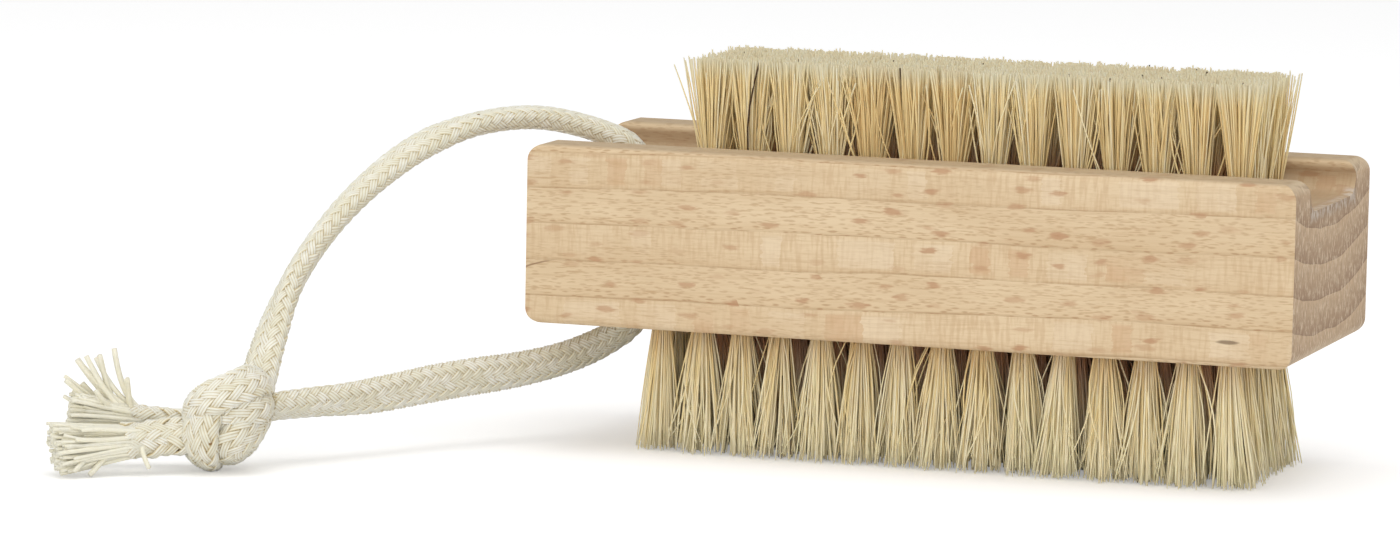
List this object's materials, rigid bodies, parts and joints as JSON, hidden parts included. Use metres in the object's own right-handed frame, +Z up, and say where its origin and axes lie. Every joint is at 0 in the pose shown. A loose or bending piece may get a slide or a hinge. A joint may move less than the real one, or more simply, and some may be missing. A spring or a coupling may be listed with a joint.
{
  "type": "nail brush",
  "caption": "Two-sided wooden nail brush: beech block with short upper and longer lower bristle tufts and a knotted braided cord loop to hang it by.",
  "frame": {"origin": "under the middle of the block, on the plane of the lower tuft tips that the brush stands on", "axes": "+X along the block away from its cord hole, +Y across it towards the back, +Z up through the upper tufts"},
  "size_m": [0.1425, 0.0837, 0.0484],
  "materials": {
    "beech": "bare, fine sanded",
    "bristle": "natural bristle, slight sheen",
    "anchor_wire": "flat drawn wire",
    "cotton_cord": "undyed braided cotton"
  },
  "bodies": {
    "brush": {"handle_block": "beech", "lower_tuft_row_1": "bristle", "lower_tuft_row_2": "bristle", "lower_tuft_row_3": "bristle", "lower_tuft_row_4": "bristle", "lower_tuft_row_5": "bristle", "upper_tuft_row_1": "bristle", "upper_tuft_row_2": "bristle", "upper_tuft_row_3": "bristle", "upper_tuft_row_4": "bristle", "lower_anchor_row_1": "anchor_wire", "lower_anchor_row_2": "anchor_wire", "lower_anchor_row_3": "anchor_wire", "lower_anchor_row_4": "anchor_wire", "lower_anchor_row_5": "anchor_wire", "upper_anchor_row_1": "anchor_wire", "upper_anchor_row_2": "anchor_wire", "upper_anchor_row_3": "anchor_wire", "upper_anchor_row_4": "anchor_wire"},
    "hang_loop": {"cord_upper_strand": "cotton_cord", "cord_in_hole": "cotton_cord", "cord_lower_strand": "cotton_cord", "cord_knot": "cotton_cord", "frayed_end_1": "cotton_cord", "frayed_end_2": "cotton_cord"}
  },
  "joints": [
    {"name": "loop_swing", "type": "hinge", "parent": "brush", "child": "hang_loop", "pos_m": [-0.039, 0, 0.0268], "axis": [0, 0, 1], "range_deg": [-80, 30]}
  ]
}
